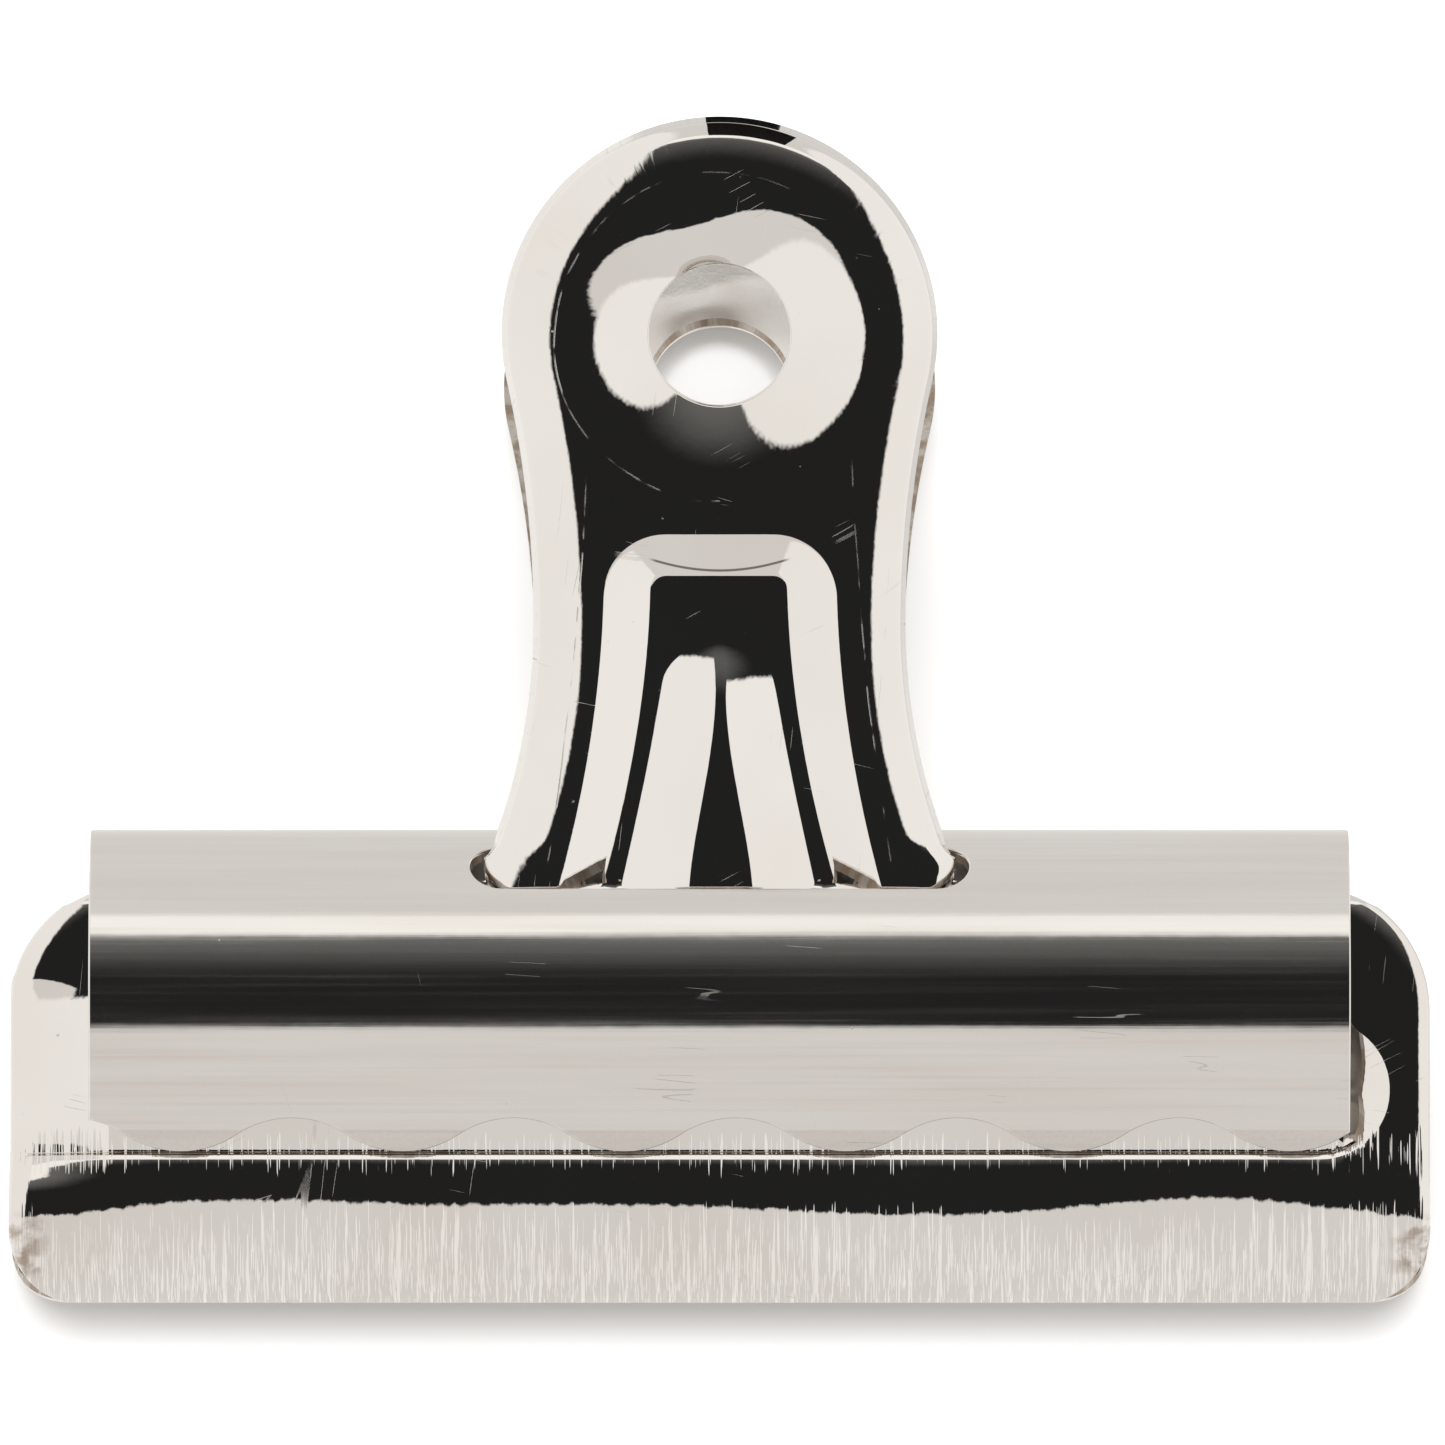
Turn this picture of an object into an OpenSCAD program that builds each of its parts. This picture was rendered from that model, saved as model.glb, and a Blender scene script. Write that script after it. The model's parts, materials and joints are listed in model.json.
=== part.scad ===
// Sprung sheet-metal paper clip with two through-slot levers, lying on its back.
// Each lever is built upright: X across the clip, Y outward from its middle, Z up to the handles.
// The finished clip is then laid down so that the rear handle and the rear of the spring rest on Z = 0.

/* [Sheets] */
// Thickness of the lever sheet
lever_t = 0.45; // [0.4:0.05:0.5]
// Thickness of the spring sheet
spring_t = 0.45; // [0.4:0.05:0.5]

/* [Spring] */
// Width of the spring across the clip
spring_w = 50.6; // [48:0.1:52]
// Outer radius of the spring's round back
barrel_r = 6.6; // [6.5:0.05:6.7]
// Height of the round back's axis above the gripping edge
barrel_h = 12.5; // [12.4:0.05:12.6]
// Angle from the top of the round back to the near edge of each slot
slot_near_a = 33.7; // [33:0.1:34]
// Angle from the top of the round back to the far edge of each slot
slot_far_a = 55.85; // [55:0.05:57]
// Length of each slot across the clip
slot_len = 20; // [19.6:0.1:20.6]
// Angle from the top at which each leg leaves the round and runs straight
leg_a = 111.4; // [111:0.1:112]
// Mean height of the scalloped edge above the gripping edge
scallop_h = 6.3; // [6.25:0.05:6.5]
// Rise of the scallops above and below that height
scallop_rise = 0.65; // [0.4:0.05:0.7]
// Distance between neighbouring lobes
scallop_pitch = 8.9; // [8.6:0.1:9.2]
// Number of lobes on each edge
lobes = 6; // [4:2:6]
// Sideways offset of the row of lobes, left by the press tool
scallop_shift = 0.65; // [-0.7:0.05:0.7]

/* [Jaw plates] */
// Width of each jaw plate
jaw_w = 57.15; // [54:0.05:60]
// Height of the plate's top edge above the gripping edge
jaw_top = 16.6; // [16.4:0.05:16.8]
// Radius of the plate's lower corners
jaw_low_r = 2.5; // [1.5:0.1:3]
// Radius of the plate's upper corners
jaw_up_r = 5.2; // [4:0.1:5.6]
// Radius of the curve that brings each plate in to the gripping edge
lip_r = 5.17; // [5.1:0.01:5.25]
// Outward lean of the plate above that curve
jaw_lean = 6; // [5:0.5:6.5]
// Outward distance of the plate's upright part
jaw_out = 4.9; // [4.85:0.05:4.95]
// Depth of the edge that is turned back at the plate's ends
jaw_rim = 0.9; // [0.6:0.1:1]
// Height of the channel's lower side
channel_low = 5.5; // [5.4:0.05:5.6]
// Height of the channel's upper side
channel_high = 11; // [10.5:0.1:11.2]
// Distance from the middle to each end of the channel
channel_half = 26.9; // [26.4:0.1:27.4]
// Depth to which the channel is pressed in
channel_depth = 0.4; // [0.3:0.05:0.45]
// Gap left between the two gripping edges
jaw_gap = 0.1; // [0.05:0.05:0.2]

/* [Handles] */
// Outward lean of each handle
lean = 14; // [13.5:0.5:14.5]
// Height of the hanging hole above the gripping edge
hole_h = 37.78; // [36:0.02:38]
// Radius of the hanging hole
hole_r = 2.77; // [2:0.01:3]
// Radius of the round head
head_r = 9; // [8.6:0.1:9.4]
// Half width of the waist below the head
waist = 7.72; // [7.4:0.02:8]
// Distance from the hole down to the waist
waist_s = 11.68; // [11.2:0.02:12]
// Distance from the hole down to the flare above the slot
flare_s = 20.96; // [20.8:0.02:21.1]
// Radius of the waist's curve between the waist and the flare
flare_r = 24.9; // [23:0.1:27]
// Depth of the edge that is turned back round the handle
rim_depth = 2; // [1.6:0.1:2]
// Radius of the round dish about the hole
dish_r = 5.46; // [4.5:0.01:6]
// Depth of that dish at the hole
dish_depth = 0.4; // [0.2:0.05:0.6]

/* [Pressed panel] */
// Distance from the hole down to the panel's top
panel_top_s = 8.8; // [8.4:0.1:9.4]
// Half width of the panel at its top
panel_top_w = 3.7; // [3.2:0.1:4]
// Half width of the panel at its foot
panel_low_w = 5.5; // [5:0.1:5.8]
// Radius of the panel's upper corners
panel_r = 1.6; // [1:0.1:2]
// Depth to which the panel is pressed in
panel_depth = 1.2; // [0.8:0.05:1.25]
// Radius of the rib that stands up along the middle of the panel
rib_r = 2.4; // [2:0.1:2.8]
// Distance from the hole down to the rib's top
rib_top_s = 13.6; // [13:0.1:15]

/* [Hidden] */
$fn = 128;

// Room between the spring's back and its legs, where the one sheet bends.
bend_gap = 0.15;
bend_gap_a = bend_gap / barrel_r * 180 / PI;
// Room between the outer side of a handle and the far edge of its slot.
slot_play = 0.3;
// Room between a handle's turned-back edge and the spring's outer surface.
back_play = 0.2;
// Half width of the neck inside the slot.
neck_w = 8.4;
// Radius of the turned-back top edge of a jaw plate.
top_rim_r = 1;
// Depth of the turned-back edge along the neck.
neck_rim_depth = 1.2;
// Radius of the rounded corners where a handle narrows into its slot.
flare_corner_r = 1.3;
// A length that reaches past the clip in every direction.
far = 60;
// Small overlap that joins neighbouring regions of one sheet.
lap = 0.02;

// The plate's lower curve: its lower end meets the gripping gap at height 0.
lip_low_a = 78;
lip_d = jaw_gap / 2 - lip_r * cos(lip_low_a);
lip_h = lip_r * sin(lip_low_a);

// The handle's outer face is a plane that passes just inside the slot's far edge.
slot_far = [barrel_r * sin(slot_far_a), barrel_h + barrel_r * cos(slot_far_a)];
face_point = slot_far + slot_play * [-cos(lean), sin(lean)];
hole_d = face_point[0] + (hole_h - face_point[1]) * tan(lean);
neck_h = hole_h - (hole_d - jaw_out) / tan(lean);
neck_s = (hole_h - neck_h) / cos(lean);

// The curve from head to waist touches the head's circle and the waist.
waist_r = (waist_s * waist_s + waist * waist - head_r * head_r) / (2 * (head_r - waist));
touch_a = atan2(-waist_s, waist + waist_r);
flare_a = asin((flare_s - waist_s) / flare_r);

// Lying angle: the rear handle's top edge and the rear of the spring touch one flat surface.
tip_d = hole_d + head_r * sin(lean);
tip_h = hole_h + head_r * cos(lean);
tilt = atan2(tip_d, tip_h - barrel_h) - asin(barrel_r / norm([tip_d, tip_h - barrel_h]));
length = tip_d * sin(tilt) + tip_h * cos(tilt);
lift = barrel_r - barrel_h * sin(tilt);

steel = [0.76, 0.75, 0.73];
spring_steel = [0.7, 0.69, 0.67];

// Lays the upright clip on its back, centred over the origin.
module lie() {
    translate([0, -length / 2, lift]) rotate([tilt - 90, 0, 0]) children();
}

// Turns what is built on the rear side (+Y) to the front side.
module on_front() {
    mirror([0, 1, 0]) children();
}

// Extrudes a side outline, drawn as outward distance and height, across the clip.
module across(width) {
    rotate([90, 0, 90]) linear_extrude(width, center = true) children();
}

// Extrudes a front outline, drawn as X and height, through the rear half.
module through_rear() {
    translate([0, far, 0]) rotate([90, 0, 0]) linear_extrude(far) children();
}

// Points along an arc about c, from angle a0 to a1 in n steps.
function arc(c, r, a0, a1, n) = [for (i = [0:n]) let (a = a0 + (a1 - a0) * i / n) c + r * [cos(a), sin(a)]];

function reversed(list) = [for (i = [len(list) - 1:-1:0]) list[i]];

// A rectangle given by its lower and upper corners.
module box2(low, high) {
    translate(low) square(high - low);
}

// The part of a ring between two angles, less than 180 degrees apart.
module ring_part(r, thickness, a0, a1) {
    mid = (a0 + a1) / 2;
    intersection() {
        difference() {
            circle(r = r);
            circle(r = r - thickness);
        }
        polygon([[0, 0], r * 3 * [cos(a0), sin(a0)], r * 3 * [cos(mid), sin(mid)], r * 3 * [cos(a1), sin(a1)]]);
    }
}

// ---- Spring ----

// Side outline of one leg: the round from the bend to leg_a, then a straight run inward.
module leg_profile() {
    translate([0, barrel_h]) {
        ring_part(barrel_r, spring_t, 90 - leg_a, 90 - slot_near_a - bend_gap_a / 2);
        rotate(90 - leg_a) translate([barrel_r - spring_t, -far / 6]) square([spring_t, far / 6 + lap]);
    }
}

// Front outline that gives the leg its scalloped lower edge.
module leg_outline() {
    lobe_r = (pow(scallop_pitch / 4, 2) + pow(scallop_rise, 2)) / (2 * scallop_rise);
    first = scallop_shift - scallop_pitch * (lobes - 1) / 2;
    intersection() {
        box2([-spring_w / 2, 0], [spring_w / 2, far]);
        difference() {
            union() {
                box2([-spring_w, scallop_h], [spring_w, far]);
                for (i = [0:lobes - 1])
                    translate([first + i * scallop_pitch, scallop_h - scallop_rise + lobe_r]) circle(r = lobe_r);
            }
            for (i = [0:lobes])
                translate([first + (i - 0.5) * scallop_pitch, scallop_h + scallop_rise - lobe_r])
                    circle(r = lobe_r);
        }
    }
}

// Slot with round ends, cut square to the sheet.
module slot_cut() {
    mid_a = (slot_near_a + slot_far_a) / 2;
    half = barrel_r * sin((slot_far_a - slot_near_a) / 2);
    translate([0, 0, barrel_h]) rotate([-mid_a, 0, 0]) linear_extrude(far) {
        square([slot_len - 2 * half, 2 * half], center = true);
        for (side = [-1, 1]) translate([side * (slot_len / 2 - half), 0]) circle(r = half);
    }
}

module spring_leg() {
    difference() {
        intersection() {
            across(spring_w) leg_profile();
            through_rear() leg_outline();
        }
        slot_cut();
    }
}

// The strip between the two slots, on whose edges both levers turn.
module spring_back() {
    half_a = slot_near_a - bend_gap_a / 2;
    color(spring_steel) lie() across(spring_w) translate([0, barrel_h])
        ring_part(barrel_r, spring_t, 90 - half_a, 90 + half_a);
}

module spring_front_leg() {
    color(spring_steel) lie() on_front() spring_leg();
}

module spring_rear_leg() {
    color(spring_steel) lie() spring_leg();
}

// ---- Jaw plate ----

// Side outline of the plate, as deep as the given thickness inward from its outer face.
// From the gripping edge it follows the lip's curve, the leaning and upright runs and the top rim.
module jaw_profile(depth, pushed = 0) {
    intersection() {
        box2([jaw_gap / 2, 0], [far, far]);
        polygon(concat(jaw_face(pushed), reversed(jaw_face(pushed + depth))));
    }
}

// Points of the plate's face, moved inward by the given amount.
function jaw_face(pushed) = concat(
    arc([lip_d, lip_h], lip_r - pushed, -90, -jaw_lean, 20),
    arc([jaw_out - top_rim_r, jaw_top - top_rim_r], top_rim_r - pushed, 0, 90, 8)
);

// Front outline of the plate, drawn in by the given amount.
module jaw_outline(inset = 0) {
    half = jaw_w / 2;
    low = half - jaw_low_r;
    up = half - jaw_up_r;
    box2([-half + inset, jaw_low_r], [half - inset, jaw_top - jaw_up_r]);
    box2([-low, inset], [low, jaw_low_r + lap]);
    box2([-up, jaw_top - jaw_up_r - lap], [up, jaw_top - inset]);
    for (side = [-1, 1]) {
        translate([side * low, jaw_low_r]) circle(r = jaw_low_r - inset);
        translate([side * up, jaw_top - jaw_up_r]) circle(r = jaw_up_r - inset);
    }
}

// Front outline of the channel that holds the spring's edge.
module channel_outline() {
    half = (channel_high - channel_low) / 2;
    mid = (channel_high + channel_low) / 2;
    translate([0, mid]) {
        square([2 * (channel_half - half), 2 * half], center = true);
        for (side = [-1, 1]) translate([side * (channel_half - half), 0]) circle(r = half);
    }
}

module jaw_plate() {
    difference() {
        union() {
            intersection() {
                across(jaw_w) jaw_profile(lever_t);
                through_rear() jaw_outline();
            }
            intersection() {
                across(jaw_w) jaw_profile(jaw_rim);
                through_rear() difference() {
                    jaw_outline();
                    jaw_outline(lever_t);
                    box2([-spring_w / 2, -far], [spring_w / 2, far]);
                }
            }
            intersection() {
                across(jaw_w) jaw_profile(lever_t, channel_depth);
                through_rear() channel_outline();
            }
        }
        intersection() {
            across(jaw_w) jaw_profile(channel_depth);
            through_rear() channel_outline();
        }
        through_rear() box2([-slot_len / 2, neck_h], [slot_len / 2, far]);
    }
}

// ---- Handle ----

// Places what is drawn with the hole at the origin, Y up the handle and Z out of its outer face.
module on_handle() {
    translate([0, hole_d, hole_h]) rotate([90 + lean, 0, 180]) children();
}

// One side of the outline of handle and neck, from the neck's foot up to the head's top, drawn in by inset.
function side_line(inset) =
    let (
        waist_c = [waist + waist_r, -waist_s],
        flare_c = [waist + flare_r, -waist_s],
        corner_c = flare_c - (flare_r + flare_corner_r) * [cos(flare_a), sin(flare_a)],
        neck_a = acos((neck_w - corner_c[0]) / flare_corner_r)
    )
    concat(
        [[neck_w - inset, -neck_s - lever_t]],
        arc(corner_c, flare_corner_r - inset, -neck_a, flare_a, 8),
        arc(flare_c, flare_r + inset, 180 + flare_a, 180, 12),
        arc(waist_c, waist_r + inset, 180, 180 + touch_a, 12),
        arc([0, 0], head_r - inset, touch_a, 90, 24)
    );

module handle_outline(inset = 0) {
    side = side_line(inset);
    polygon(concat(side, [for (p = reversed(side)) [-p[0], p[1]]]));
}

// The edge that is turned back all round: deep round the handle and shallow along the neck.
module handle_rim() {
    translate([0, 0, -rim_depth]) linear_extrude(rim_depth) intersection() {
        rim_ring();
        box2([-far, -flare_s], [far, far]);
    }
}

module neck_rim() {
    translate([0, 0, -neck_rim_depth]) linear_extrude(neck_rim_depth) intersection() {
        rim_ring();
        box2([-far, -far], [far, -flare_s + lever_t]);
    }
}

module rim_ring() {
    difference() {
        handle_outline();
        handle_outline(lever_t);
        box2([-neck_w + lever_t, -far], [neck_w - lever_t, -neck_s]);
    }
}

// Outline of the pressed panel, drawn in by the given amount.
module panel_outline(inset = 0) {
    corner_s = panel_top_s + panel_r;
    polygon([
        [-panel_low_w + inset, -neck_s + inset],
        [panel_low_w - inset, -neck_s + inset],
        [panel_top_w - inset, -corner_s],
        [-panel_top_w + inset, -corner_s],
    ]);
    box2([-panel_top_w + panel_r, -corner_s - lap], [panel_top_w - panel_r, -panel_top_s - inset]);
    for (side = [-1, 1]) translate([side * (panel_top_w - panel_r), -corner_s]) circle(r = panel_r - inset);
}

// The round bar that shapes the rib: it rises out of the panel's floor towards the slot.
module rib_bar(r) {
    rise_a = atan((panel_depth - lever_t) / (neck_s - rib_top_s));
    translate([0, -rib_top_s, -panel_depth - rib_r]) rotate([90 - rise_a, 0, 0]) cylinder(r = r, h = far / 4);
}

// The pressed panel: walls, floor and the hollow rib along its middle.
module pressed_panel() {
    translate([0, 0, -panel_depth]) linear_extrude(panel_depth) difference() {
        panel_outline();
        panel_outline(lever_t);
    }
    difference() {
        union() {
            translate([0, 0, -panel_depth - lever_t]) linear_extrude(lever_t) panel_outline();
            intersection() {
                translate([0, 0, -panel_depth - lever_t]) linear_extrude(panel_depth + lever_t) panel_outline(lap);
                rib_bar(rib_r);
            }
        }
        rib_bar(rib_r - lever_t);
    }
}

// The dish about the hole, whose inner edge is the hole's wall.
module dish() {
    rotate_extrude() polygon([
        [hole_r, -dish_depth],
        [dish_r + lap, 0],
        [dish_r + lap, -lever_t],
        [hole_r, -dish_depth - lever_t],
    ]);
}

module handle() {
    difference() {
        on_handle() handle_rim();
        translate([0, 0, barrel_h]) rotate([0, 90, 0]) cylinder(r = barrel_r + back_play, h = far, center = true);
    }
    on_handle() {
        translate([0, 0, -lever_t]) linear_extrude(lever_t) difference() {
            handle_outline();
            circle(r = dish_r);
            panel_outline();
        }
        neck_rim();
        dish();
        pressed_panel();
    }
}

module lever() {
    jaw_plate();
    handle();
}

module front_lever() {
    color(steel) lie() on_front() lever();
}

module rear_lever() {
    color(steel) lie() lever();
}

spring_back();
spring_front_leg();
spring_rear_leg();
front_lever();
rear_lever();
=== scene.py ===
"""Looks for the sprung sheet-steel paper clip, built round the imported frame.

Lengths below are in millimetres and are the part's own design sizes. Each sheet is drawn upright in the clip's own
frame (x across, d outward from the middle, h up from the gripping edge) and then laid on its back in metres.
"""
import json
import math

import bpy
import numpy as np
from mathutils import Matrix, Vector
from mathutils.geometry import delaunay_2d_cdt


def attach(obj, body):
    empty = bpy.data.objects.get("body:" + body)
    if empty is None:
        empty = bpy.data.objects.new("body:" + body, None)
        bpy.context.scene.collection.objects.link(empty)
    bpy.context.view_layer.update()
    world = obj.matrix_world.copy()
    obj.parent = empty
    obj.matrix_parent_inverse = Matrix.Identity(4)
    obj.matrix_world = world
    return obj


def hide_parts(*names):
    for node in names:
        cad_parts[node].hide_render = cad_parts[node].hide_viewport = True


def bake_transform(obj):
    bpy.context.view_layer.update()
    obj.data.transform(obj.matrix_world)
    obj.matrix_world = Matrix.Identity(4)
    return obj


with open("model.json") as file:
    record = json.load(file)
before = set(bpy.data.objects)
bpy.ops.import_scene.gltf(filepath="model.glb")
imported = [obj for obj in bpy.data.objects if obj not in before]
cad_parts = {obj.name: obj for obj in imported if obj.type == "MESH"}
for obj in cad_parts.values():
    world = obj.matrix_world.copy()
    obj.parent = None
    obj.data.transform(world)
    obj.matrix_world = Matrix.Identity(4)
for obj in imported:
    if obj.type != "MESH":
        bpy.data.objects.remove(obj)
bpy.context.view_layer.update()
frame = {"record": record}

rad = math.radians

# ---- Where the clip lies ----

mounts = {m["name"]: m for m in frame["record"]["mounts"]}
HOLE_R = mounts["rear_hanging_hole"]["dims"]["r_mm"]
ORIGIN = np.array(mounts["grip_mouth"]["pos_m"])
UP = -np.array(mounts["grip_mouth"]["axis"])       # towards the handles
ACROSS = np.array([1.0, 0.0, 0.0])
REAR = np.cross(UP, ACROSS)                        # out of the rear lever
FRONT = -REAR                                      # out of the front lever


def to_row(p, side):
    """Points (x, d, h) in mm of one half of the clip, in the row frame in metres. Side is 1 rear, -1 front."""
    return ORIGIN + (p[:, :1] * ACROSS + side * p[:, 1:2] * REAR + p[:, 2:] * UP) / 1000


def turn(v, side):
    """Directions of one half of the clip, in the row frame."""
    return v[:, :1] * ACROSS + side * v[:, 1:2] * REAR + v[:, 2:] * UP


# ---- Design sizes ----

SHEET = 0.45                                       # thickness of both sheets
BARREL_R, BARREL_H = 6.6, 12.5                     # the spring's round back and the height of its middle
SPRING_HALF = 25.3
LEG_A = rad(111.4)                                 # where the back turns into the straight leg, from the top
SLOT_NEAR, SLOT_FAR, SLOT_HALF = rad(33.7), rad(55.85), 10.0
SCALLOP_H, SCALLOP_RISE, SCALLOP_PITCH, LOBES, SCALLOP_SHIFT = 6.3, 0.65, 8.9, 6, 0.65

JAW_HALF, JAW_TOP, JAW_LOW_R, JAW_UP_R = 28.575, 16.6, 2.5, 5.2
JAW_MID = 8.0                                      # a height between the plate's lower and upper corners
LIP_R, LIP_A, LEAN_A = 5.17, rad(78), rad(6)       # the lip's bend, from its start to the leaning run above it
JAW_OUT, TOP_R = 4.9, 1.0
LIP_C = np.array([0.05 - LIP_R * math.cos(LIP_A), LIP_R * math.sin(LIP_A)])
CHANNEL_LOW, CHANNEL_HIGH, CHANNEL_HALF = 5.35, 11.0, 26.9

LEAN = rad(14)
# The head's radius, the waist's half width, how far below the hole the waist and the flare's end lie, and radii.
HEAD_R, WAIST, WAIST_S, FLARE_S, FLARE_R, CORNER_R = 9.0, 7.72, 11.68, 20.96, 24.9, 1.3
NECK_HALF = 8.4
HOLE_H = 37.78
SLOT_PLAY = 0.3                                    # between the slot's far edge and the handle's face
FACE = np.array([BARREL_R * math.sin(SLOT_FAR), BARREL_H + BARREL_R * math.cos(SLOT_FAR)])
FACE += SLOT_PLAY * np.array([-math.cos(LEAN), math.sin(LEAN)])
HOLE_D = FACE[0] + (HOLE_H - FACE[1]) * math.tan(LEAN)

# Reliefs pressed into the handle. Distances down are from the middle of the hole.
DISH_R, DISH_DEPTH = 6.17, 1.1
DISH_LAG, LAG_AT, LAG_WIDTH = 1.3, 0.25, 0.6       # how much smaller the dish is at the top left, and where
ARCH_OUTER = (7.9, 4.75, 6.5, 2.6)                 # top, half widths high and low, corner radius
ARCH_INNER = (9.75, 2.65, 4.55, 0.5)
ARCH_FOOT = 23.1
PANEL_DEPTH = 1.05                                 # inside the arch
RIB_TOP, RIB_RISE = 12.3, 1.03                     # the rib is a little lower than the panel is deep
SHOULDER, SHOULDER_W = 0.9, 2.7                    # the soft start of the turned-back edge round the handle
LOW_SHOULDER = 0.45                                # how much less it turns back at the neck

# Reliefs pressed into the jaw plate.
# The groove's depth, the slopes of its bevel, lower wall and floor, and how far in the wall starts and ends.
GROOVE_DEPTH, GROOVE_BEVEL, GROOVE_WALL, GROOVE_SLOPE = 0.46, 0.42, 3.4, 0.30
GROOVE_EDGE, GROOVE_FOOT = 0.25, 0.355
# The hollow's least slope, what its lower and upper sides add to that, and its greatest depth.
HOLLOW_SLOPE, HOLLOW_LOW, HOLLOW_HIGH, HOLLOW_DEPTH = 0.21, 0.34, 0.12, 0.5
PULL_SLOPE, PULL_FROM = 0.17, 24.4                 # the sheet drawn in at the groove's left end
UNEVEN = 0.17                                      # scale of the waves at the start of the lip
JAW_SHOULDER, JAW_SHOULDER_W = 0.27, 1.15


def smooth(t):
    t = np.clip(t, 0.0, 1.0)
    return t * t * (3 - 2 * t)


def ramp(t, a, b):
    return smooth((t - a) / (b - a))


def soft_least(a, b, k=0.02):
    """The lesser of two values, rounded over where they meet."""
    low = np.minimum(a, b)
    return low - k * np.log(np.exp((low - a) / k) + np.exp((low - b) / k))


def wall(t, soft):
    """A straight slope from 0 to 1 that starts and ends softly."""
    t = np.clip(t, 0, 1)
    start, end = t * t / (2 * soft), 1 - soft - (1 - t) ** 2 / (2 * soft)
    rise = np.where(t < soft, start, np.where(t > 1 - soft, end, t - soft / 2))
    return rise / (1 - soft)


# ---- Surfaces: each gives (x, d, h) of the outer face for sheet coordinates (x, y) ----

RUN_START = LIP_C + LIP_R * np.array([math.cos(LEAN_A), -math.sin(LEAN_A)])
RUN_END = np.array([JAW_OUT, JAW_TOP - TOP_R])
LIP_LEN = LIP_R * (LIP_A - LEAN_A)
RUN_LEN = float(np.linalg.norm(RUN_END - RUN_START))
RUN_DIR = (RUN_END - RUN_START) / RUN_LEN
JAW_LEN = LIP_LEN + RUN_LEN + TOP_R * math.pi / 2
HANDLE_DIR = np.array([math.sin(LEAN), math.cos(LEAN)])
HANDLE_OUT = np.array([math.cos(LEAN), -math.sin(LEAN)])
RUN_OUT = np.array([RUN_DIR[1], -RUN_DIR[0]])
HOLE_C = np.array([HOLE_D, HOLE_H])
# The handle's plane meets the jaw's run at the bend: so far along the run, and so far along the handle.
BEND_RUN, BEND_S = np.linalg.solve(np.array([RUN_DIR, -HANDLE_DIR]).T, HOLE_C - RUN_START)
BEND_Y = LIP_LEN + BEND_RUN
BEND_OUT = (HANDLE_OUT + RUN_OUT) / np.linalg.norm(HANDLE_OUT + RUN_OUT)
WAIST_R = (WAIST_S ** 2 + WAIST ** 2 - HEAD_R ** 2) / (2 * (HEAD_R - WAIST))
TOUCH = math.atan2(-WAIST_S, WAIST + WAIST_R)
FLARE_A = math.asin((FLARE_S - WAIST_S) / FLARE_R)


def jaw_h(y):
    """Height above the gripping edge for the distance y along the jaw's profile."""
    lip = LIP_C[1] + LIP_R * np.sin(np.clip(y, -1, LIP_LEN) / LIP_R - LIP_A)
    run = RUN_DIR[1] * np.clip(y - LIP_LEN, 0, RUN_LEN)
    return lip + run + TOP_R * np.sin(np.clip(y - LIP_LEN - RUN_LEN, 0, 2) / TOP_R)


def jaw_y(h):
    """The inverse of jaw_h."""
    lip = LIP_R * (np.arcsin(np.clip((h - LIP_C[1]) / LIP_R, -1, -math.sin(LEAN_A))) + LIP_A)
    run = np.clip((h - RUN_START[1]) / RUN_DIR[1], 0, RUN_LEN)
    return lip + run + TOP_R * np.arcsin(np.clip((h - RUN_END[1]) / TOP_R, 0, 1))


def plate_distance(x, h):
    """Distance in from the ends and round corners of the jaw plate's outline. Far from them it is just large."""
    large = 9.0
    r = np.where(h > JAW_MID, JAW_UP_R, JAW_LOW_R)
    px = np.abs(x) - JAW_HALF + r
    py = np.where(h > JAW_MID, h - JAW_TOP + r, r - h)
    round_part = r - np.hypot(np.maximum(px, 0), np.maximum(py, 0))
    return np.where((px > 0) & (py > 0), round_part, np.where(px > 0, r - px, large))


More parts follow.
